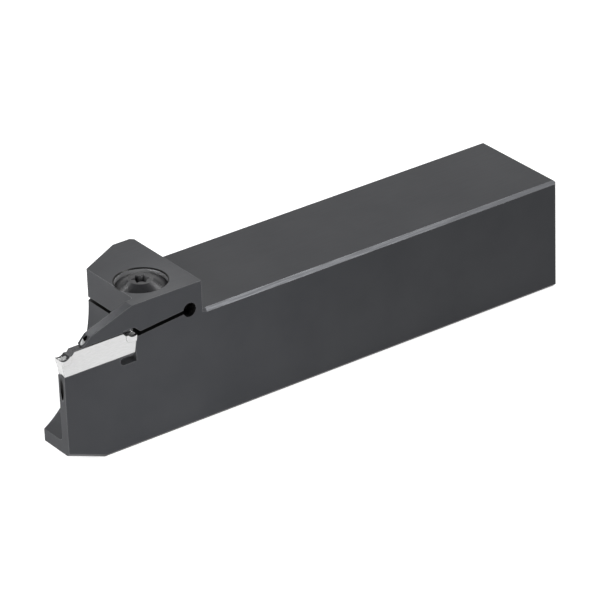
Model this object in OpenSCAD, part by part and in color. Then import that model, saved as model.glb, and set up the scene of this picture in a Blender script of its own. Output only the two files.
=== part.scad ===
// Grooving and parting holder for a lathe: a square shank with a slit head that clamps a
// double-ended insert. Millimetres. X runs from the cutting edge to the rear end, Z is up,
// the blade's side is -Y. The origin is on the underside, midway along the length.

/* [Shank] */
// Height of the shank, which is also the height of the cutting edge
shank_h = 25; // [24:0.5:32]
// Width of the shank
shank_w = 25; // [24:0.5:32]
// Length from the cutting edge to the rear end
overall_l = 125; // [110:1:170]
// Chamfer along the long edges
long_chamfer = 0.7; // [0.3:0.1:1.2]
// Length over which the top's chamfers run out behind the head
runout_l = 1.1; // [0.5:0.1:1.5]
// Chamfer left at the end of that run-out
runout_chamfer = 0.4; // [0.1:0.1:0.6]
// Chamfer round the rear end
end_chamfer = 0.5; // [0.2:0.1:1]

/* [Head] */
// Length of the raised head, from the cutting edge to its rear step
head_l = 33.8; // [33.4:0.1:38]
// Height of the head above the shank
head_rise = 6.65; // [6.2:0.05:9]
// Angle of the far flank to the shank
flank_angle = 28.5; // [24:0.5:32]
// Distance from the cutting edge to where the far flank starts
flank_start = 30.3; // [29:0.1:33]
// Chamfer on the head's far rear corner
corner_chamfer = 1.4; // [0.8:0.1:1.8]
// Radius of the round in the corner behind the step
step_round = 0.6; // [0.3:0.1:1.5]
// Height of the underside's slope at the front
toe_h = 3.3; // [1:0.1:4.5]
// Length of the underside's slope at the front
toe_l = 8.8; // [4:0.1:14]

/* [Blade] */
// Thickness of the blade that carries the insert
blade_t = 2.2; // [2:0.05:2.6]
// Distance of the blade's front face behind the cutting edge
blade_setback = 0.5; // [0.3:0.05:0.6]
// Radius of the relief beside the blade, which limits the depth of cut
relief_r = 19; // [18:0.1:19.5]
// Radius of the round between blade and relief
relief_round = 1; // [0.5:0.1:1]

/* [Jaw] */
// Distance from the cutting edge to where the jaw's slope leaves the head's top
slope_start = 17.1; // [16.5:0.1:19]
// Distance from the cutting edge to the foot of the slope
slope_end = 7.1; // [6.9:0.1:7.4]
// Height of the slope's foot above the insert's top
slope_foot_h = 1.75; // [1.7:0.05:1.95]
// Distance from the cutting edge to the jaw's tip
jaw_setback = 5.4; // [5.2:0.1:5.8]
// Height of the clearance over the rear chip former, above the insert's top
pocket_h = 0.35; // [0.2:0.05:0.6]
// Length of the slope at the front of that clearance
pocket_lead = 0.5; // [0.2:0.05:0.8]
// Distance in front of the insert's rear edge at which that clearance starts to fall
pocket_inset = 0.6; // [0.3:0.05:0.9]
// Slope at which that clearance falls to the slit
pocket_angle = 42; // [35:1:50]

/* [Slit] */
// Width of the slit under the jaw
slit_w = 0.8; // [0.5:0.05:1]
// Diameter of the round hole at the slit's end
hinge_d = 3; // [2:0.1:3.4]
// Distance from the cutting edge to the hole at the slit's end
hinge_setback = 30.7; // [30:0.1:31.5]
// Height of that hole's centre above the cutting edge
hinge_rise = 1.1; // [0.8:0.05:1.4]

/* [Seat relief] */
// Width of the slot under the rear of the seat
slot_w = 1.7; // [1:0.1:1.8]
// Length of that slot
slot_l = 3.8; // [2.5:0.1:5]
// Steel between the slot and the seat
slot_land = 0.3; // [0.2:0.05:0.8]
// Distance of the slot's rear end in front of the insert's rear edge
slot_inset = 0.4; // [0.3:0.05:0.5]
// Width of the relief in the corner between the seat and its rear wall
corner_relief_w = 0.6; // [0.4:0.05:0.8]
// Height of that relief above the seat
corner_relief_h = 0.45; // [0.3:0.05:0.8]

/* [Insert] */
// Length of the insert over both cutting edges
insert_l = 18; // [17.4:0.1:18]
// Height of the cutting edge above the seat
insert_h = 3.85; // [3.4:0.05:4.4]
// Width of cut
cut_w = 2.5; // [2.4:0.05:3]
// Width of the insert between its two heads
insert_body_w = 2.1; // [1.8:0.05:2.1]
// Height of the clamped top above the cutting edge
crown_h = 1.3; // [1.2:0.05:1.35]
// Chamfer along the two edges of the clamped top
crown_chamfer = 0.3; // [0.1:0.05:0.35]
// Depth of the grooves that guide the insert, top and bottom
vee_h = 0.35; // [0.2:0.05:0.45]
// Clearance angle under the cutting edge
clearance_angle = 10; // [7:0.5:12]
// Radius of the chip groove behind the cutting edge
chip_r = 1.5; // [1.2:0.05:1.6]
// Depth of the chip groove below the cutting edge
chip_sag = 0.2; // [0.1:0.05:0.3]
// Radius of the round dish in the middle of the chip groove
dish_r = 1.1; // [0.9:0.05:1.2]
// Depth of that dish below the cutting edge
dish_sag = 0.4; // [0.35:0.05:0.5]
// Length of the flat land between the cutting edge and the chip groove
edge_land = 0.1; // [0.05:0.05:0.2]
// Height of the chip stop above the cutting edge
chip_stop_h = 0.4; // [0.3:0.05:0.5]
// Distance from the cutting edge to the end of the chip stop
chip_stop_end = 2.7; // [2.5:0.05:2.9]
// Distance from the cutting edge to the start of the clamped top
crown_start = 3.4; // [3.2:0.05:3.6]
// Length of the wide cutting head
pad_l = 2.55; // [2.3:0.05:2.7]
// Height of the wide cutting head
pad_h = 1.32; // [1.2:0.02:1.6]
// Corner radius of the wide cutting head
pad_round = 1; // [0.5:0.05:1.1]
// Corner radius of the cutting edge
edge_round = 0.2; // [0.1:0.05:0.3]
// Amount by which each side of the cutting head tapers back
pad_taper = 0.1; // [0:0.02:0.15]

/* [Clamp screw] */
// Thread diameter of the clamp screw
screw_d = 6; // [5:0.5:6]
// Diameter of the screw's head
screw_head_d = 10.4; // [9.5:0.1:10.6]
// Diameter of the flat on top of the head
screw_flat_d = 5.2; // [5:0.1:6]
// Height of the head's cone
screw_cone_h = 1.4; // [1:0.1:1.8]
// Height of the head's rim under the cone
screw_rim_h = 1.35; // [1:0.05:1.6]
// Depth of the head's rim below the top of the holder
screw_sink = 1; // [0.6:0.05:1.3]
// Length of the screw under its head
screw_l = 18; // [16:0.5:20]
// Distance from the cutting edge to the screw
screw_setback = 24.6; // [24.5:0.1:25]
// Distance from the blade's side to the screw
screw_inset = 7.8; // [7.7:0.1:9]
// Width of the six-lobed socket over its lobes
socket_d = 3.8; // [3.3:0.1:4.2]
// Depth of the socket
socket_depth = 2.4; // [1.5:0.1:3]
// Chamfer on the screw's end
screw_end_chamfer = 0.8; // [0.4:0.1:1]

/* [Coolant] */
// Diameter of the bore left by the port's thread
port_d = 8.6; // [8.2:0.1:9.2]
// Depth of the rear port
port_depth = 12; // [9:0.5:16]
// Chamfer round the mouth of each port
port_chamfer = 0.6; // [0.3:0.1:1]
// Diameter of the supply channel
channel_d = 5; // [4.5:0.1:6]
// Diameter of the channel between the underside's port and the supply channel
cross_channel_d = 4; // [3:0.1:4.2]
// Distance from the cutting edge to the channel's front end
channel_end = 35; // [33:0.5:45]
// Distance from the rear end to the port in the underside
under_port_setback = 50; // [40:1:56]
// Depth of the port in the underside
under_port_depth = 7.5; // [7:0.1:8]
// Diameter of the outlet in the jaw
jaw_outlet_d = 1.1; // [0.8:0.1:1.1]
// Slope of the jaw's outlet
jaw_outlet_angle = 14; // [12:0.5:15]
// Height above the cutting edge at which the jaw's outlet aims
jaw_aim_h = 0.6; // [0.5:0.05:0.65]
// Distance from the cutting edge to the inner end of the jaw's outlet, along the outlet
jaw_outlet_l = 15; // [9:0.5:16]
// Diameter of the outlet in the blade
blade_outlet_d = 1.1; // [0.7:0.1:1.2]
// Angle of the blade's outlet to the upright
blade_outlet_angle = 13; // [10:0.5:20]
// Depth of the middle of the blade's outlet below the cutting edge
blade_outlet_drop = 6.9; // [6.5:0.1:8]
// Length of the blade's outlet below that middle
blade_outlet_l = 11; // [5:0.5:12]

/* [Port plug] */
// Length of the plug
plug_l = 6.5; // [5:0.1:6.6]
// Depth of the plug below the underside
plug_sink = 0.3; // [0.2:0.05:0.4]
// Width across flats of the plug's hexagon socket
plug_hex = 5; // [4:0.5:5]
// Depth of the hexagon socket
plug_hex_depth = 3.2; // [2:0.1:3.5]
// Chamfer on the plug's two ends
plug_chamfer = 0.5; // [0.2:0.1:0.8]

/* [Fits] */
// Clearance between the insert and its seat
seat_gap = 0.02; // [0.01:0.01:0.05]
// Clearance round the screw's thread and round the plug
thread_gap = 0.05; // [0.02:0.01:0.1]
// Clearance round the screw in the jaw
jaw_bore_gap = 0.3; // [0.2:0.05:0.5]
// Clearance round the screw's head
head_gap = 0.2; // [0.1:0.05:0.3]
// Chamfer round the mouth of the counterbore
bore_chamfer = 0.25; // [0.1:0.05:0.4]
// Space under the screw's end
drill_space = 2; // [1:0.5:3]

/* [Hidden] */
$fn = 96;

// How far a cut runs past the face it opens
past = 1;
// Point angle of the drilled holes
drill_point = 118;
// Limits of the holder
tip_x = -overall_l/2;
rear_x = overall_l/2;
near_y = -shank_w/2;
far_y = shank_w/2;
edge_z = shank_h;
head_z = shank_h + head_rise;
step_x = tip_x + head_l;
front_x = tip_x + blade_setback;
toe_x = front_x + toe_l;
toe_angle = atan2(toe_h, toe_l);
// Far side of the holder's front face, where the oblique flank ends
front_far_y = far_y - (flank_start - blade_setback)*tan(flank_angle);
// The blade and the block beside it
blade_y = near_y + blade_t;
blade_mid_y = near_y + blade_t/2;
block_x = tip_x + relief_r;
// The insert
seat_z = edge_z - insert_h;
crown_z = edge_z + crown_h;
chip_stop_z = edge_z + chip_stop_h;
insert_rear_x = tip_x + insert_l;
insert_mid_x = tip_x + insert_l/2;
flank_run = insert_h*tan(clearance_angle);
crown_end_x = insert_rear_x - crown_start;
// Distance from the cutting edge to the middle of the chip groove
chip_mid = edge_land + sqrt(chip_r*chip_r - (chip_r - chip_sag)*(chip_r - chip_sag));
// Rise per millimetre of the guide grooves' flanks
vee_slope = vee_h/(insert_body_w/2);
// Half width over which the seat and the jaw are cut to that slope
seat_reach = blade_t;
seat_reach_drop = (seat_reach - insert_body_w/2)*vee_slope;
// The slit
slit_start = [insert_rear_x + slit_w/2, edge_z - slit_w/8];
hinge = [tip_x + hinge_setback, edge_z + hinge_rise];
slit_angle = atan2(hinge[1] - slit_start[1], hinge[0] - slit_start[0]);
slit_run = norm(hinge - slit_start);
// The slot under the seat
slot_rear_x = insert_rear_x - slot_inset;
slot_top_z = seat_z - slot_land;
slot_mid_z = slot_top_z - slot_w/2;
// The screw
screw_x = tip_x + screw_setback;
screw_y = near_y + screw_inset;
screw_rim_z = head_z - screw_sink;
screw_seat_z = screw_rim_z - screw_rim_h;
screw_end_z = screw_seat_z - screw_l;
slit_z_at_screw = slit_start[1] + (screw_x - slit_start[0])*tan(slit_angle);
// Radius of the six hollows between the socket's lobes, and of the circle they stand on
hollow_r = socket_d*0.22;
hollow_circle_r = socket_d*0.58;
// The coolant way
channel_z = shank_h/2;
under_port_x = rear_x - under_port_setback;

// Extrudes an outline of X and Z from one Y to another
module across(y0, y1) {
    translate([0, y1, 0]) rotate([90, 0, 0]) linear_extrude(y1 - y0) children();
}

// Extrudes an outline of Y and Z from one X to another
module along(x0, x1) {
    translate([x0, 0, 0]) rotate([90, 0, 90]) linear_extrude(x1 - x0) children();
}

// Area from a rounded corner towards minus and plus, as far as the given reach
module rounded_notch(corner, r, reach) {
    translate([corner[0] - reach[0], corner[1]]) square([reach[0] - r, reach[1]]);
    translate([corner[0] - reach[0], corner[1] + r]) square([reach[0], reach[1] - r]);
    translate([corner[0] - r, corner[1] + r]) circle(r);
}

// Square bar that breaks an edge along Z, with a slimmer start where it runs out
module edge_bar(l, leg, start_leg, start_l) {
    cylinder(h = start_l, r1 = start_leg, r2 = leg, $fn = 4);
    translate([0, 0, start_l]) cylinder(h = l - start_l, r = leg, $fn = 4);
}

// Drilled hole along Z with the drill's point at its end
module drilled(d, depth) {
    cylinder(h = depth, d = d);
    translate([0, 0, depth]) cylinder(h = d/2/tan(drill_point/2), d1 = d, d2 = 0);
}

// Side view of the whole holder, with the jaw still joined to the seat
module side_outline() {
    difference() {
        polygon([
            [front_x, toe_h],
            [toe_x, 0],
            [rear_x - end_chamfer, 0],
            [rear_x, end_chamfer],
            [rear_x, shank_h - end_chamfer],
            [rear_x - end_chamfer, shank_h],
            [step_x + step_round, shank_h],
            [step_x, shank_h + step_round],
            [step_x, head_z],
            [tip_x + slope_start, head_z],
            [tip_x + slope_end, crown_z + slope_foot_h],
            [tip_x + jaw_setback, crown_z],
            [tip_x + jaw_setback, seat_z + vee_h],
            [front_x, seat_z + vee_h]]);
        translate([step_x + step_round, shank_h + step_round]) circle(step_round);
    }
}

// The holder seen from above
module plan_outline() {
    polygon([
        [front_x, near_y],
        [rear_x - end_chamfer, near_y],
        [rear_x, near_y + end_chamfer],
        [rear_x, far_y - end_chamfer],
        [rear_x - end_chamfer, far_y],
        [tip_x + flank_start, far_y],
        [front_x, front_far_y]]);
}

// The head seen from the front
module section_outline() {
    polygon([
        [near_y + long_chamfer, 0],
        [far_y - long_chamfer, 0],
        [far_y, long_chamfer],
        [far_y, head_z - long_chamfer],
        [far_y - long_chamfer, head_z],
        [near_y, head_z],
        [near_y, long_chamfer]]);
}

module holder_blank() {
    intersection() {
        across(near_y - past, far_y + past) side_outline();
        translate([0, 0, -past]) linear_extrude(head_z + 2*past) plan_outline();
        along(front_x - past, rear_x + past) section_outline();
    }
}

// Chamfers of the shank's top, of the head's rear corner and of the toe
module edge_breaks() {
    for (y = [near_y, far_y])
        translate([step_x, y, shank_h]) rotate([0, 90, 0])
            edge_bar(overall_l, long_chamfer, runout_chamfer, runout_l);
    translate([step_x, far_y, shank_h + step_round])
        edge_bar(head_rise, corner_chamfer, 0, corner_chamfer);
    translate([toe_x, near_y, 0]) rotate([0, toe_angle - 90, 0])
        translate([0, 0, -2*long_chamfer])
            edge_bar(2*toe_l, long_chamfer, 0, long_chamfer);
}

// Space beside the blade: a disc round the cutting edge and the opening above it
module relief() {
    translate([tip_x, 0, edge_z]) rotate([-90, 0, 0])
        rotate_extrude() rounded_notch([relief_r, blade_y], relief_round, [relief_r, shank_w]);
    translate([0, 0, edge_z]) linear_extrude(head_rise + past)
        rounded_notch([block_x, blade_y], relief_round, [relief_r + past, shank_w]);
}

// Slit that lets the jaw bend, ending in a round hole
module slit() {
    across(near_y - past, far_y + past) {
        translate(slit_start) rotate(slit_angle)
            translate([-past, -slit_w/2]) square([past + slit_run, slit_w]);
        translate(hinge) circle(d = hinge_d);
    }
}

// Space for the insert, with a ridge below and a ridge in the jaw above
module seat_cut() {
    intersection() {
        along(tip_x - past, insert_rear_x + past) polygon([
            [blade_mid_y - seat_reach, seat_z - seat_gap - seat_reach_drop],
            [blade_mid_y, seat_z + vee_h - seat_gap],
            [blade_mid_y + seat_reach, seat_z - seat_gap - seat_reach_drop],
            [blade_mid_y + seat_reach, crown_z + seat_gap + seat_reach_drop],
            [blade_mid_y, crown_z - vee_h + seat_gap],
            [blade_mid_y - seat_reach, crown_z + seat_gap + seat_reach_drop]]);
        across(near_y - 2*past, far_y) polygon([
            [tip_x - 2*past, seat_z - past],
            [insert_rear_x + seat_gap - (insert_h + past)*tan(clearance_angle), seat_z - past],
            [insert_rear_x + seat_gap, edge_z],
            [insert_rear_x + seat_gap, crown_z + past],
            [tip_x - 2*past, crown_z + past]]);
    }
}

// Clearance in the jaw over the rear chip former
module chip_pocket() {
    top_z = crown_z + pocket_h;
    fall_x = insert_rear_x - pocket_inset;
    across(near_y - past, blade_y + relief_round) polygon([
        [crown_end_x, edge_z],
        [crown_end_x, crown_z],
        [crown_end_x + pocket_lead, top_z],
        [fall_x, top_z],
        [fall_x + (top_z - edge_z)/tan(pocket_angle), edge_z]]);
}

// Slot under the seat, and the relief in the seat's rear corner
module seat_slot() {
    across(near_y - past, blade_y + relief_round) {
        translate([slot_rear_x - slot_l + slot_w/2, slot_mid_z]) circle(d = slot_w);
        translate([slot_rear_x - slot_l + slot_w/2, slot_top_z - slot_w])
            square([slot_l - slot_w/2, slot_w]);
        translate([slot_rear_x - corner_relief_w, slot_mid_z])
            square([corner_relief_w, seat_z + corner_relief_h - slot_mid_z]);
    }
}

// Counterbore with its chamfer, clearance in the jaw and the tapped hole under the slit
module screw_bore() {
    thread_top = slit_z_at_screw;
    thread_foot = screw_end_z - drill_space;
    bore_r = screw_head_d/2 + head_gap;
    translate([screw_x, screw_y, screw_seat_z - seat_gap])
        cylinder(h = head_z + past - screw_seat_z, r = bore_r);
    translate([screw_x, screw_y, head_z - bore_chamfer])
        cylinder(h = bore_chamfer + past, r1 = bore_r, r2 = bore_r + bore_chamfer + past);
    translate([screw_x, screw_y, thread_top])
        cylinder(h = screw_rim_z - thread_top, d = screw_d + 2*jaw_bore_gap);
    translate([screw_x, screw_y, thread_top]) mirror([0, 0, 1])
        drilled(screw_d + 2*thread_gap, thread_top - thread_foot);
}

// Bore of a port along Z, with a chamfered mouth
module port(depth) {
    translate([0, 0, -past]) {
        cylinder(h = depth + past, d = port_d);
        cylinder(h = port_chamfer + past, d1 = port_d + 2*(port_chamfer + past), d2 = port_d);
    }
}

// Supply ports with their channels, and the two outlets at the insert
module coolant_way() {
    translate([rear_x, 0, channel_z]) rotate([0, -90, 0]) {
        port(port_depth);
        drilled(channel_d, overall_l - channel_end);
    }
    translate([under_port_x, 0, 0]) {
        port(under_port_depth);
        cylinder(h = channel_z, d = cross_channel_d);
    }
    translate([tip_x, blade_mid_y, edge_z + jaw_aim_h]) rotate([0, 90 - jaw_outlet_angle, 0])
        translate([0, 0, jaw_setback - past])
            drilled(jaw_outlet_d, jaw_outlet_l - jaw_setback + past);
    translate([front_x, blade_mid_y, edge_z - blade_outlet_drop])
        rotate([0, -blade_outlet_angle, 0])
            translate([0, 0, -blade_outlet_l])
                cylinder(h = blade_outlet_l + blade_outlet_d/sin(blade_outlet_angle),
                    d = blade_outlet_d);
}

// The one-piece steel body with its blade, jaw and shank
module holder() {
    color("dimgray") difference() {
        holder_blank();
        edge_breaks();
        relief();
        slit();
        seat_cut();
        chip_pocket();
        seat_slot();
        screw_bore();
        coolant_way();
    }
}

// Side view of the insert before its chip grooves are ground
module insert_outline() {
    polygon([
        [tip_x + flank_run, seat_z],
        [insert_rear_x - flank_run, seat_z],
        [insert_rear_x, edge_z],
        [insert_rear_x - chip_mid, edge_z],
        [insert_rear_x - chip_mid, chip_stop_z],
        [insert_rear_x - chip_stop_end, chip_stop_z],
        [crown_end_x, crown_z],
        [tip_x + crown_start, crown_z],
        [tip_x + chip_stop_end, chip_stop_z],
        [tip_x + chip_mid, chip_stop_z],
        [tip_x + chip_mid, edge_z],
        [tip_x, edge_z]]);
}

// Grooved middle part of the insert
module insert_body() {
    half = insert_body_w/2;
    intersection() {
        across(blade_mid_y - cut_w, blade_mid_y + cut_w) insert_outline();
        along(tip_x - past, insert_rear_x + past) polygon([
            [blade_mid_y - half, seat_z],
            [blade_mid_y, seat_z + vee_h],
            [blade_mid_y + half, seat_z],
            [blade_mid_y + half, crown_z - crown_chamfer],
            [blade_mid_y + half - crown_chamfer, crown_z - crown_chamfer*vee_slope],
            [blade_mid_y, crown_z - vee_h],
            [blade_mid_y - half + crown_chamfer, crown_z - crown_chamfer*vee_slope],
            [blade_mid_y - half, crown_z - crown_chamfer]]);
    }
}

// Wide cutting head at the insert's front end, tapering back
module insert_head() {
    half = cut_w/2;
    intersection() {
        across(blade_mid_y - cut_w, blade_mid_y + cut_w) intersection() {
            insert_outline();
            rounded_notch([tip_x + pad_l, edge_z - pad_h], pad_round,
                [pad_l + past, pad_h + crown_h]);
        }
        translate([0, 0, seat_z]) linear_extrude(insert_h + crown_h) {
            polygon([
                [tip_x + edge_round, blade_mid_y - half],
                [tip_x + pad_l + past, blade_mid_y - half + pad_taper],
                [tip_x + pad_l + past, blade_mid_y + half - pad_taper],
                [tip_x + edge_round, blade_mid_y + half],
                [tip_x, blade_mid_y + half - edge_round],
                [tip_x, blade_mid_y - half + edge_round]]);
            for (side = [-1, 1])
                translate([tip_x + edge_round, blade_mid_y + side*(half - edge_round)])
                    circle(edge_round);
        }
    }
}

// Cutters of the front chip groove and of the dish in its middle
module chip_groove() {
    translate([tip_x + chip_mid, blade_mid_y, edge_z + chip_r - chip_sag])
        rotate([90, 0, 0]) cylinder(h = 2*cut_w, r = chip_r, center = true);
    translate([tip_x + chip_mid, blade_mid_y, edge_z + dish_r - dish_sag]) sphere(dish_r);
}

// Places a copy at the insert's other end
module other_end() {
    translate([2*insert_mid_x, 0, 0]) mirror([1, 0, 0]) children();
}

module cutting_insert() {
    color("silver") difference() {
        union() {
            insert_body();
            insert_head();
            other_end() insert_head();
        }
        chip_groove();
        other_end() chip_groove();
    }
}

// Six-lobed socket
module six_lobes() {
    difference() {
        circle(d = socket_d);
        for (i = [0:5])
            rotate(60*i) translate([hollow_circle_r, 0]) circle(hollow_r);
    }
}

module clamp_screw() {
    top_z = screw_rim_z + screw_cone_h;
    color("darkslategray") translate([screw_x, screw_y, 0]) difference() {
        union() {
            translate([0, 0, screw_end_z])
                cylinder(h = screw_end_chamfer, d1 = screw_d - 2*screw_end_chamfer, d2 = screw_d);
            translate([0, 0, screw_end_z + screw_end_chamfer])
                cylinder(h = screw_l - screw_end_chamfer, d = screw_d);
            translate([0, 0, screw_seat_z]) cylinder(h = screw_rim_h, d = screw_head_d);
            translate([0, 0, screw_rim_z])
                cylinder(h = screw_cone_h, d1 = screw_head_d, d2 = screw_flat_d);
        }
        translate([0, 0, top_z - socket_depth]) linear_extrude(socket_depth + past) six_lobes();
    }
}

// Flush plug in the port of the underside
module port_plug() {
    plug_d = port_d - 2*thread_gap;
    color("gray") translate([under_port_x, 0, plug_sink]) difference() {
        union() {
            cylinder(h = plug_chamfer, d1 = plug_d - 2*plug_chamfer, d2 = plug_d);
            translate([0, 0, plug_chamfer]) cylinder(h = plug_l - 2*plug_chamfer, d = plug_d);
            translate([0, 0, plug_l - plug_chamfer])
                cylinder(h = plug_chamfer, d1 = plug_d, d2 = plug_d - 2*plug_chamfer);
        }
        translate([0, 0, -past])
            cylinder(h = plug_hex_depth + past, d = plug_hex/cos(30), $fn = 6);
    }
}

holder();
cutting_insert();
clamp_screw();
port_plug();
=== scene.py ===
# %% [markdown]
# # A grooving and parting holder for a lathe
#
# The holder is one block of dark, surface-treated steel. A thin blade at its front carries a
# small cutting insert, a slit lets the jaw above the insert bend, and one screw pulls the jaw
# down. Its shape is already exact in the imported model, so this lesson is about light and
# finishes: satin steel, two-tone coated carbide, black screw steel and zinc plating.

import math
import bpy
import bmesh
from mathutils import Matrix, Vector


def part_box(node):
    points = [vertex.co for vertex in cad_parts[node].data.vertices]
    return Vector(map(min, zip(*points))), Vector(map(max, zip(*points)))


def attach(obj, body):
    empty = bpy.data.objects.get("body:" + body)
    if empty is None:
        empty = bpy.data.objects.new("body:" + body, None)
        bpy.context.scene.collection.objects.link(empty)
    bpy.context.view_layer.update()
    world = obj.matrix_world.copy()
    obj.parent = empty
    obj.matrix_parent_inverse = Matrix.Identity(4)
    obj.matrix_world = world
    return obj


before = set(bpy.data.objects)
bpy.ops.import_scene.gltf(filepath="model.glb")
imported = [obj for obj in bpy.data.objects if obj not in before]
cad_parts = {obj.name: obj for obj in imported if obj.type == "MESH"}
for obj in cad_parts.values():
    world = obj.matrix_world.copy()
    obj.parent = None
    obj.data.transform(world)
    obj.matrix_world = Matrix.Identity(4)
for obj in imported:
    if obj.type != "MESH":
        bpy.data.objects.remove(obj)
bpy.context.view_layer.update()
MM = 0.001
print("nodes:", sorted(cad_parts))

# %% [markdown]
# ## The camera
#
# The product picture was taken with a long lens from the blade's side, a little above. Such a
# lens shows parallel edges almost parallel. The angles below were worked out from the straight
# edges of the shank and the head. A camera could be aimed with a Track To constraint, but the
# view is also turned two degrees about its own axis, so its three axes are written directly.

# %% Camera
azimuth, elevation, roll = math.radians(-35.362), math.radians(27.714), math.radians(-2.002)
sight_point = Vector((0.017439, 0.018858, -0.000963))
sight_distance = 0.8997
focal_length_mm, film_mm = 253.34, 36.0

back = Vector((
    math.sin(azimuth)*math.cos(elevation),
    -math.cos(azimuth)*math.cos(elevation),
    math.sin(elevation)))
right = Vector((math.cos(azimuth), math.sin(azimuth), 0))
up = back.cross(right)
view_axes = Matrix((right, up, back)).transposed() @ Matrix.Rotation(roll, 3, "Z")

camera_data = bpy.data.cameras.new("camera")
camera_data.sensor_width = film_mm
camera_data.lens = focal_length_mm
camera_data.clip_start, camera_data.clip_end = 0.01, 20
camera = bpy.data.objects.new("camera", camera_data)
bpy.context.scene.collection.objects.link(camera)
camera.matrix_world = Matrix.LocRotScale(
    sight_point + back*sight_distance, view_axes.to_quaternion(), None)
bpy.context.scene.camera = camera
print("camera stands at", [round(v, 3) for v in camera.location])

# %% [markdown]
# ## Floor and background
#
# The picture has a plain white background. The floor is a pale matt sheet, and only rays that
# come straight from the camera or out of a reflection get a little extra brightness from it,
# so it turns white around the holder and still keeps the soft shadow. The same switch makes the
# world white to the eye, while the light that it sheds on the steel stays low.

# %% Matt paper for the floor
def node_adder(tree):
    """A function that adds a node to this tree and sets its options."""
    def add(kind, **settings):
        node = tree.nodes.new(kind)
        for key, value in settings.items():
            setattr(node, key, value)
        return node

    return add


def new_material(name):
    """A material with an empty node tree, with its links and its node adder."""
    material = bpy.data.materials.new(name)
    material.use_nodes = True
    material.node_tree.nodes.clear()
    return material, material.node_tree.links, node_adder(material.node_tree)


floor_paper, links, add = new_material("floor_paper")
paper_grey = 0.50
paper = add("ShaderNodeBsdfDiffuse")
paper.inputs["Color"].default_value = (paper_grey, paper_grey, paper_grey, 1)
print("floor paper is grey", paper_grey)

# %% Extra brightness for the rays that are seen
def seen_ray(add, links):
    """1 for rays from the camera, from a reflection or through glass, and 0 for the rest."""
    path = add("ShaderNodeLightPath")
    seen = add("ShaderNodeMath", operation="MAXIMUM")
    links.new(path.outputs["Is Camera Ray"], seen.inputs[0])
    links.new(path.outputs["Is Glossy Ray"], seen.inputs[1])
    all_seen = add("ShaderNodeMath", operation="MAXIMUM")
    links.new(seen.outputs[0], all_seen.inputs[0])
    links.new(path.outputs["Is Transmission Ray"], all_seen.inputs[1])
    return all_seen.outputs[0]


floor_lift = 0.75
glow = add("ShaderNodeEmission")
lift = add("ShaderNodeMath", operation="MULTIPLY")
lift.inputs[1].default_value = floor_lift
links.new(seen_ray(add, links), lift.inputs[0])
links.new(lift.outputs[0], glow.inputs["Strength"])
both = add("ShaderNodeAddShader")
links.new(paper.outputs[0], both.inputs[0])
links.new(glow.outputs[0], both.inputs[1])
links.new(both.outputs[0], add("ShaderNodeOutputMaterial").inputs["Surface"])
print("seen rays get", floor_lift, "more from the floor")

# %% Floor sheet
half_width, floor_gap = 3.0, 0.00002
floor_mesh = bpy.data.meshes.new("floor")
floor_mesh.from_pydata([
    (-half_width, -half_width, 0), (half_width, -half_width, 0),
    (half_width, half_width, 0), (-half_width, half_width, 0)], [], [(0, 1, 2, 3)])
floor_mesh.materials.append(floor_paper)
floor = bpy.data.objects.new("floor", floor_mesh)
bpy.context.scene.collection.objects.link(floor)
floor.location.z = -floor_gap
print("floor is", 2*half_width, "m wide")

# %% World that looks white and sheds little light
ambient_strength, backdrop_strength = 0.13, 1.0
world = bpy.data.worlds.new("studio")
world.use_nodes = True
bpy.context.scene.world = world
world.node_tree.nodes.clear()
links, add = world.node_tree.links, node_adder(world.node_tree)

choose = add("ShaderNodeMixShader")
links.new(seen_ray(add, links), choose.inputs[0])
for i, strength in enumerate((ambient_strength, backdrop_strength)):
    sky = add("ShaderNodeBackground")
    sky.inputs["Color"].default_value = (1, 1, 1, 1)
    sky.inputs["Strength"].default_value = strength
    links.new(sky.outputs[0], choose.inputs[i + 1])
links.new(choose.outputs[0], add("ShaderNodeOutputWorld").inputs["Surface"])
print("ambient light:", ambient_strength)

# %% [markdown]
# ## Studio light
#
# The long chamfer is the brightest edge in the picture, so a soft box stands where that chamfer
# mirrors it: to the right of the camera and above. A second one on the left lights the front
# faces. A third one carries a grid, which narrows its beam: it lights the insert and the front
# half of the near side, and the side gets darker towards the rear, as it does in the picture.
# Three more are small. The screw's cone mirrors the one on the right. The one just behind the
# head puts a sheen on the head's top, brightest at the near corner, and the last one is
# mirrored by the jaw's slope. Area lights were chosen, because their size sets how soft a
# shadow and a highlight are.

# %% Soft boxes
aim_height = 0.02


def soft_box(name, direction, distance, size, watts, beam_deg=180, aim_x=-0.03):
    """Square area light at a distance from a point on the holder, turned towards it."""
    data = bpy.data.lights.new(name, "AREA")
    data.shape = "SQUARE"
    data.size = size
    data.energy = watts
    data.spread = math.radians(beam_deg)
    lamp = bpy.data.objects.new(name, data)
    bpy.context.scene.collection.objects.link(lamp)
    away = Vector(direction).normalized()
    lamp.location = Vector((aim_x, 0, aim_height)) + away*distance
    lamp.rotation_euler = away.to_track_quat("Z", "Y").to_euler()
    lamp.visible_camera = False


soft_box("chamfer_box", (0.485, -0.465, 0.722), 0.9, 0.15, 5.8)
soft_box("front_box", (-0.92, -0.20, 0.30), 0.6, 0.40, 5.3)
soft_box("screw_box", (0.68, 0.10, 0.73), 0.5, 0.08, 0.6)
soft_box("head_box", (-0.30, -0.92, 0.12), 0.30, 0.08, 0.0195, 20, -0.042)
soft_box("sheen_box", (0.030, 0.044, 0.058), 0.0786, 0.012, 0.0045)
soft_box("slope_box", (-0.0037, 0.0612, 0.077), 0.0984, 0.012, 0.0008, 24, -0.052)

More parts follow.
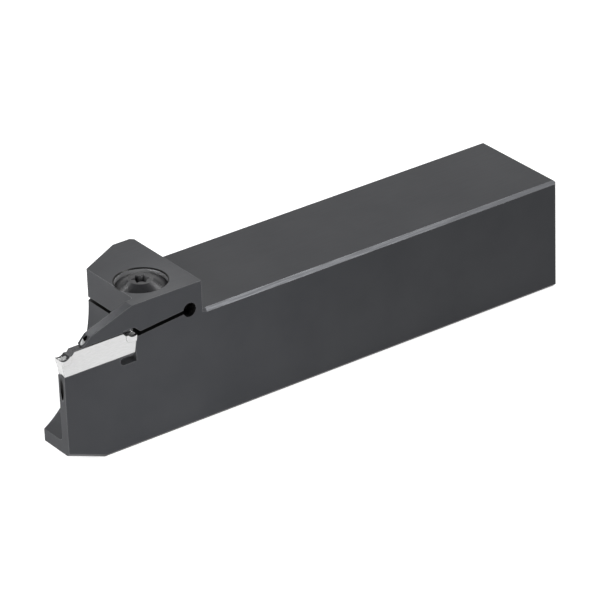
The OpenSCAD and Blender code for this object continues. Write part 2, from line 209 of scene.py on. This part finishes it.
# %% [markdown]
# ## The holder's treated steel
#
# Holders like this are milled from tool steel, hardened and given a dark grey, satin surface
# treatment. It reads as a soft metal rather than as paint: partly metallic, medium rough, with
# faint grinding lines along the shank and slow cloudy changes of tone. A fully metallic shader
# would mirror the white studio too strongly, so the metal share is kept at about a third.
#
# All finishes are drawn from the object's own coordinates, so they stay on the steel when a
# piece moves. Fine grinding lines are noise that is stretched along one axis.

# %% Clouds and grinding lines
def stretched_noise(add, links, scale_xyz, detail=4.0):
    """Noise whose grain has its own size along each axis, in features per metre."""
    place = add("ShaderNodeTexCoord")
    stretch = add("ShaderNodeMapping")
    stretch.inputs["Scale"].default_value = scale_xyz
    grain = add("ShaderNodeTexNoise")
    grain.inputs["Scale"].default_value = 1.0
    grain.inputs["Detail"].default_value = detail
    grain.inputs["Roughness"].default_value = 0.55
    links.new(place.outputs["Object"], stretch.inputs["Vector"])
    links.new(stretch.outputs["Vector"], grain.inputs["Vector"])
    return grain.outputs["Fac"]


def spread(add, links, value, low, high, low_at=0.3, high_at=0.7):
    """Maps a texture value from one span to another, without going past its ends."""
    span = add("ShaderNodeMapRange")
    span.inputs["From Min"].default_value = low_at
    span.inputs["From Max"].default_value = high_at
    span.inputs["To Min"].default_value = low
    span.inputs["To Max"].default_value = high
    links.new(value, span.inputs["Value"])
    return span.outputs["Result"]


def share_of(add, links, value, share):
    """A mask made weaker."""
    weaker = add("ShaderNodeMath", operation="MULTIPLY")
    weaker.inputs[1].default_value = share
    links.new(value, weaker.inputs[0])
    return weaker.outputs[0]


def blend_colours(add, links, amount, first, second):
    """Mixes two colours, each an RGB triple or a socket."""
    mix = add("ShaderNodeMix", data_type="RGBA")
    links.new(amount, mix.inputs["Factor"])
    a_socket = [s for s in mix.inputs if s.name == "A" and s.type == "RGBA"][0]
    b_socket = [s for s in mix.inputs if s.name == "B" and s.type == "RGBA"][0]
    for socket, colour in ((a_socket, first), (b_socket, second)):
        if isinstance(colour, tuple):
            socket.default_value = (*colour, 1)
        else:
            links.new(colour, socket)
    return [s for s in mix.outputs if s.type == "RGBA"][0]


treated_steel, links, add = new_material("treated_steel")
dark_tone, light_tone = (0.027, 0.028, 0.031), (0.034, 0.035, 0.038)
cloud = stretched_noise(add, links, (60, 60, 60), detail=3.0)
grinding_lines = stretched_noise(add, links, (160, 5200, 5200), detail=2.0)
finish = blend_colours(add, links, spread(add, links, cloud, 0.0, 1.0), dark_tone, light_tone)
print("steel's tones:", dark_tone, light_tone)

# %% [markdown]
# ### Lighter edges and painted shade in depths
#
# Edges are a touch lighter than faces: partly wear of the treatment, partly a painted highlight
# along the edges. The Bevel node finds them: where the rounded normal differs from the true one,
# there is an edge. Deep inside a slit, a hole or a corner the colour is painted near black as
# painted shade, and the Ambient Occlusion node tells how deep a point lies. Both are masks
# between
# 0 and 1, so both go into a colour mix.

# %% Edges and depths
def edge_finder(add, links, radius_mm):
    """0 on a flat face and towards 1 on an edge."""
    rounded = add("ShaderNodeBevel", samples=6)
    rounded.inputs["Radius"].default_value = radius_mm*MM
    true_normal = add("ShaderNodeNewGeometry")
    agree = add("ShaderNodeVectorMath", operation="DOT_PRODUCT")
    links.new(rounded.outputs["Normal"], agree.inputs[0])
    links.new(true_normal.outputs["Normal"], agree.inputs[1])
    return spread(add, links, agree.outputs["Value"], 1.0, 0.0, 0.80, 0.995)


def depth_finder(add, links, reach_mm):
    """1 on an open face and towards 0 deep inside a slit, a hole or a corner."""
    openness = add("ShaderNodeAmbientOcclusion", samples=12)
    openness.inputs["Distance"].default_value = reach_mm*MM
    return spread(add, links, openness.outputs["AO"], 0.0, 1.0, 0.25, 0.85)


# The light edge tone is partly wear and partly a painted highlight along edges; the near-black
# tone is painted shade for slits, holes and corners.
wear_and_highlight_tone, painted_shade_tone = (0.150, 0.151, 0.155), (0.004, 0.004, 0.004)
wear_and_highlight_share, edge_mm, depth_mm = 0.45, 0.25, 1.6
wear_and_highlight = share_of(add, links, edge_finder(add, links, edge_mm), wear_and_highlight_share)
finish = blend_colours(add, links, wear_and_highlight, finish, wear_and_highlight_tone)
# Painted shade: points deep in slits, holes and corners turn near black.
finish = blend_colours(add, links, depth_finder(add, links, depth_mm), painted_shade_tone, finish)
print("edges are found within", edge_mm, "mm and depths within", depth_mm, "mm")

# %% [markdown]
# ### Walls of the holes and of the slit
#
# The walls of the holder's holes look different. The slit and its end hole are cut by a wire,
# and their walls are painted black as painted shade, as are the deep parts of the coolant
# channels.
# The counterbore and the jaw's coolant outlet are drilled after the treatment, so they show
# brighter steel, and the broken edge at the counterbore's mouth is painted dark as painted
# shade.
# A hole is found by the distance from its axis, and the slit by that from its plane. A second
# material on these faces would do it too, but then the imported mesh would need a cut.

# %% Masks for walls
def offset_from(add, links, point_mm):
    """The way from a fixed point of the piece to the shaded point."""
    place = add("ShaderNodeTexCoord")
    offset = add("ShaderNodeVectorMath", operation="SUBTRACT")
    offset.inputs[1].default_value = Vector(point_mm)*MM
    links.new(place.outputs["Object"], offset.inputs[0])
    return offset.outputs["Vector"]


def measured(add, links, offset, direction, operation):
    """The offset's dot or cross product with a fixed direction."""
    product = add("ShaderNodeVectorMath", operation=operation)
    product.inputs[1].default_value = direction
    links.new(offset, product.inputs[0])
    return product


def within(add, links, value, middle_mm, reach_mm):
    """1 where a length lies this close to a middle value, and 0 elsewhere."""
    close = add("ShaderNodeMath", operation="COMPARE")
    close.inputs[1].default_value = middle_mm*MM
    close.inputs[2].default_value = reach_mm*MM
    links.new(value, close.inputs[0])
    return close.outputs[0]


def both_masks(add, links, first, second):
    """1 only where both masks are."""
    product = add("ShaderNodeMath", operation="MULTIPLY")
    links.new(first, product.inputs[0])
    links.new(second, product.inputs[1])
    return product.outputs[0]


def hole_wall(add, links, mouth_mm, inward, radius_mm, length_mm):
    """1 on the wall of a straight round hole, from its mouth inwards, and 0 elsewhere."""
    offset = offset_from(add, links, mouth_mm)
    axis = Vector(inward).normalized()
    swept = measured(add, links, offset, axis, "CROSS_PRODUCT")
    along = measured(add, links, offset, axis, "DOT_PRODUCT")
    distance = add("ShaderNodeVectorMath", operation="LENGTH")
    links.new(swept.outputs["Vector"], distance.inputs[0])
    close = spread(add, links, distance.outputs["Value"],
        1.0, 0.0, (radius_mm + 0.02)*MM, (radius_mm + 0.06)*MM)
    return both_masks(add, links, close,
        within(add, links, along.outputs["Value"], length_mm/2, length_mm/2))


def slit_wall(add, links, start_mm, end_mm, width_mm):
    """1 on the walls of a straight slit across the piece, and 0 elsewhere."""
    offset = offset_from(add, links, start_mm)
    run = Vector(end_mm) - Vector(start_mm)
    along = measured(add, links, offset, run.normalized(), "DOT_PRODUCT")
    upward = Vector((-run.z, 0, run.x)).normalized()
    beside = measured(add, links, offset, upward, "DOT_PRODUCT")
    return both_masks(add, links,
        within(add, links, along.outputs["Value"], run.length/2, run.length/2),
        within(add, links, beside.outputs["Value"], 0, width_mm/2 + 0.03))


print("masks find round holes and straight slits")

# %% Finishes and painted shade of the walls
bored_tone, drilled_tone = (0.230, 0.232, 0.236), (0.340, 0.342, 0.346)
jaw_tilt, blade_tilt = math.radians(14), math.radians(13)
down, across = (0, 0, -1), (0, 1, 0)
jaw_way = (math.cos(jaw_tilt), 0, math.sin(jaw_tilt))
blade_way = (math.sin(blade_tilt), 0, -math.cos(blade_tilt))
near_y, hinge_x, hinge_z = -12.5, -31.8, 26.1
# Entries in the near-black tone are painted shade: the counterbore's mouth, the deep coolant
# channels and the hinge hole.
wall_finishes = (
    # mouth, direction inwards, radius and length in mm, and tone
    ((-37.9, -4.7, 31.70), down, 5.65, 0.32, painted_shade_tone),
    ((-37.9, -4.7, 31.40), down, 5.40, 2.2, bored_tone),
    ((-62.5, -11.4, 25.6), jaw_way, 0.55, 16, painted_shade_tone),
    ((-62.5, -11.4, 25.6), jaw_way, 0.55, 6.6, drilled_tone),
    ((-62.5, -11.4, 20.5), blade_way, 0.55, 15, painted_shade_tone),
    ((hinge_x, near_y, hinge_z), across, 1.5, 25, painted_shade_tone))
for mouth, inward, radius, length, colour in wall_finishes:
    wall = hole_wall(add, links, mouth, inward, radius, length)
    finish = blend_colours(add, links, wall, finish, colour)
# Painted shade: the slit's walls are painted near black.
slit = slit_wall(add, links, (-44.1, 0, 24.9), (hinge_x, 0, hinge_z), 0.8)
finish = blend_colours(add, links, slit, finish, painted_shade_tone)
print("walls with a finish of their own:", len(wall_finishes) + 1)

# %% Treated steel on the holder
def relief(add, links, height, shader, strength, distance_mm):
    """Fine relief on a shader, from a texture that gives its height."""
    bump = add("ShaderNodeBump")
    bump.inputs["Strength"].default_value = strength
    bump.inputs["Distance"].default_value = distance_mm*MM
    links.new(height, bump.inputs["Height"])
    links.new(bump.outputs["Normal"], shader.inputs["Normal"])


def dress(node_name, material):
    """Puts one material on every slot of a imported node."""
    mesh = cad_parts[node_name].data
    if not mesh.materials:
        mesh.materials.append(material)
    for i in range(len(mesh.materials)):
        mesh.materials[i] = material
    print(node_name, "wears", material.name)


steel = add("ShaderNodeBsdfPrincipled")
links.new(finish, steel.inputs["Base Color"])
steel.inputs["Metallic"].default_value = 0.32
steel.inputs["Specular IOR Level"].default_value = 0.12
links.new(spread(add, links, grinding_lines, 0.31, 0.40), steel.inputs["Roughness"])
relief(add, links, grinding_lines, steel, 0.06, 0.02)
links.new(steel.outputs[0], add("ShaderNodeOutputMaterial").inputs["Surface"])
dress("holder", treated_steel)

# %% [markdown]
# ## The insert's two-tone coating
#
# The insert is cemented carbide. Its flanks are silver and its upper faces, where the chips run,
# are nearly black. Two materials would need a cut along the edges. It is simpler to let one
# material look at the face's own direction: faces that look up are dark, the rest are silver.
# The direction is taken in object coordinates, so it stays right while the insert slides out.
# The round chip groove behind each cutting edge is painted blacker still as painted shade, the
# dish in its middle is painted light grey as a painted highlight, and the honed edges of the
# flanks are drawn as thin dark lines of painted shade.

# %% Silver flanks and a dark coat on top
coated_carbide, links, add = new_material("coated_carbide")
# The near-black tone is painted shade in the chip grooves and along the flanks' edges; the light
# grey one is a painted highlight in the dishes.
insert_painted_shade, dish_painted_highlight = (0.006, 0.006, 0.007), (0.240, 0.240, 0.240)
place = add("ShaderNodeTexCoord")
facing = add("ShaderNodeSeparateXYZ")
links.new(place.outputs["Normal"], facing.inputs["Vector"])
looks_up = spread(add, links, facing.outputs["Z"], 0.0, 1.0, 0.22, 0.34)
grind = stretched_noise(add, links, (900, 900, 9000), detail=3.0)
silver = blend_colours(add, links, spread(add, links, grind, 0.0, 1.0),
    (0.365, 0.365, 0.365), (0.425, 0.425, 0.425))
mottle = stretched_noise(add, links, (2600, 2600, 2600))
dark_coat = blend_colours(add, links, spread(add, links, mottle, 0.0, 1.0),
    (0.035, 0.035, 0.037), (0.070, 0.070, 0.073))
# Painted shade: thin dark lines along the flanks' edges.
edge_shade_lines = share_of(add, links, edge_finder(add, links, 0.10), 0.75)
flanks = blend_colours(add, links, edge_shade_lines, silver, insert_painted_shade)
coat = blend_colours(add, links, looks_up, flanks, dark_coat)
print("insert's groove and dish tones:", insert_painted_shade, dish_painted_highlight)

# %% Chip grooves, dishes and the insert's shader
def ball_wall(add, links, centre_mm, radius_mm):
    """1 on the wall of a round dish and 0 on the rest of the piece."""
    place = add("ShaderNodeTexCoord")
    distance = add("ShaderNodeVectorMath", operation="DISTANCE")
    distance.inputs[1].default_value = Vector(centre_mm)*MM
    links.new(place.outputs["Object"], distance.inputs[0])
    return spread(add, links, distance.outputs["Value"],
        1.0, 0.0, (radius_mm + 0.01)*MM, (radius_mm + 0.03)*MM)


# Each chip groove gets painted shade and its dish a painted highlight.
for groove_x in (-61.652, -45.348):
    groove = hole_wall(add, links, (groove_x, -15.0, 26.3), across, 1.5, 8.0)
    dish = ball_wall(add, links, (groove_x, -11.4, 25.7), 1.1)
    coat = blend_colours(add, links, groove, coat, insert_painted_shade)
    coat = blend_colours(add, links, dish, coat, dish_painted_highlight)
carbide = add("ShaderNodeBsdfPrincipled")
links.new(coat, carbide.inputs["Base Color"])
carbide.inputs["Metallic"].default_value = 0.25
carbide.inputs["Specular IOR Level"].default_value = 0.40
links.new(spread(add, links, mottle, 0.10, 0.18), carbide.inputs["Roughness"])
relief(add, links, mottle, carbide, 0.08, 0.01)
links.new(carbide.outputs[0], add("ShaderNodeOutputMaterial").inputs["Surface"])
dress("cutting_insert", coated_carbide)

# %% [markdown]
# ## The black screw and the plated plug
#
# The clamp screw is a hardened steel screw with a thin black oxide. Oxide is darker and a bit
# glossier than the holder. The walls and edges of the socket are lighter: partly wear by the
# key, partly a painted highlight where they catch light.
# Turning marks run round the screw's axis. They are made from the distance to that axis, which
# a Wave texture in ring mode gives. The port plug has a grey zinc plating with the same kind
# of marks.

# %% Turned steel, for pieces made on a lathe
def turned_steel(name, axis_xy, tones, wear_and_highlight_tone, metal_share, rough_span, socket):
    """Steel with rings round an upright axis, with lighter edges and socket walls: partly wear
    by the key, partly painted highlight.
    """
    material, links, add = new_material(name)
    place = add("ShaderNodeTexCoord")
    centre = add("ShaderNodeMapping")
    centre.inputs["Location"].default_value = (-axis_xy[0], -axis_xy[1], 0)
    links.new(place.outputs["Object"], centre.inputs["Vector"])
    rings = add("ShaderNodeTexWave", wave_type="RINGS", rings_direction="Z")
    rings.inputs["Scale"].default_value = 900
    rings.inputs["Distortion"].default_value = 1.5
    rings.inputs["Detail"].default_value = 2.0
    links.new(centre.outputs["Vector"], rings.inputs["Vector"])
    cloud = stretched_noise(add, links, (700, 700, 700))
    tone = blend_colours(add, links, spread(add, links, cloud, 0.0, 1.0), *tones)
    # Lighter edges: partly wear, partly a painted highlight.
    wear_and_highlight = share_of(add, links, edge_finder(add, links, 0.18), 0.6)
    finish = blend_colours(add, links, wear_and_highlight, tone, wear_and_highlight_tone)
    mouth_z, inward_z, socket_r, socket_l = socket
    # Lighter socket walls: partly wear by the key, partly a painted highlight.
    socket_wear_and_highlight = hole_wall(add, links, (axis_xy[0]/MM, axis_xy[1]/MM, mouth_z),
        (0, 0, inward_z), socket_r, socket_l)
    metal = add("ShaderNodeBsdfPrincipled")
    links.new(blend_colours(add, links, socket_wear_and_highlight, finish, wear_and_highlight_tone), metal.inputs["Base Color"])
    metal.inputs["Metallic"].default_value = metal_share
    metal.inputs["Specular IOR Level"].default_value = 0.20
    links.new(spread(add, links, cloud, *rough_span), metal.inputs["Roughness"])
    relief(add, links, rings.outputs["Fac"], metal, 0.10, 0.02)
    links.new(metal.outputs[0], add("ShaderNodeOutputMaterial").inputs["Surface"])
    return material


def axis_of(node_name):
    """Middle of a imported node, seen from above."""
    low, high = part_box(node_name)
    return ((low.x + high.x)/2, (low.y + high.y)/2)


black_oxide = turned_steel("black_oxide", axis_of("clamp_screw"),
    ((0.005, 0.005, 0.006), (0.010, 0.010, 0.011)), (0.080, 0.080, 0.083), 0.3, (0.26, 0.36),
    (32.04, -1, 2.05, 2.6))
dress("clamp_screw", black_oxide)
grey_zinc = turned_steel("grey_zinc", axis_of("port_plug"),
    ((0.16, 0.16, 0.165), (0.22, 0.22, 0.225)), (0.40, 0.40, 0.40), 0.8, (0.32, 0.45),
    (0.31, 1, 2.95, 3.4))
dress("port_plug", grey_zinc)

# %% [markdown]
# ## The thread in the rear port
#
# The coolant hose screws into the rear end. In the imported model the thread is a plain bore. A
# thread is a ridge that winds round the wall, so it is built as a helix of V-shaped sections
# with bmesh. A Screw modifier could do it too, but the direct way keeps the two ends neatly
# sunk in the wall. The pitch is that of the G1/8 pipe thread, 28 turns to the inch.

# %% Internal thread
def inner_thread(name, wall_r, crest_r, pitch, start_x, end_x, centre_z, steps=48):
    """Ridge that winds along X inside a bore, from its mouth inwards."""
    count = int((start_x - end_x)/pitch*steps)
    fade_steps = steps*0.75
    root_r, root_share, crest_share = wall_r + 0.02, 0.40, 0.07
    mesh_maker = bmesh.new()
    rows = []
    for i in range(count + 1):
        angle = 2*math.pi*i/steps
        x = start_x - pitch*i/steps
        fade = min(1.0, i/fade_steps, (count - i)/fade_steps)
        top_r = wall_r + (crest_r - wall_r)*fade
        section = (
            (-root_share, root_r), (-crest_share, top_r),
            (crest_share, top_r), (root_share, root_r))
        rows.append([mesh_maker.verts.new((
            (x + shift*pitch)*MM,
            r*math.cos(angle)*MM,
            (centre_z + r*math.sin(angle))*MM)) for shift, r in section])
    for near_row, far_row in zip(rows, rows[1:]):
        for k in range(len(near_row) - 1):
            mesh_maker.faces.new((near_row[k], near_row[k + 1], far_row[k + 1], far_row[k]))
    mesh_maker.faces.new(rows[0])
    mesh_maker.faces.new(list(reversed(rows[-1])))
    bmesh.ops.recalc_face_normals(mesh_maker, faces=mesh_maker.faces)
    mesh = bpy.data.meshes.new(name)
    mesh_maker.to_mesh(mesh)
    mesh_maker.free()
    thread = bpy.data.objects.new(name, mesh)
    bpy.context.scene.collection.objects.link(thread)
    return thread


port_thread = inner_thread("port_thread", wall_r=4.3, crest_r=4.02, pitch=25.4/28,
    start_x=61.5, end_x=52.5, centre_z=12.5)
port_thread.data.materials.append(treated_steel)
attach(port_thread, "holder")
print("thread faces:", len(port_thread.data.polygons))

# %% [markdown]
# ## Finish

# %% Finish
bpy.context.scene.view_settings.view_transform = "Standard"
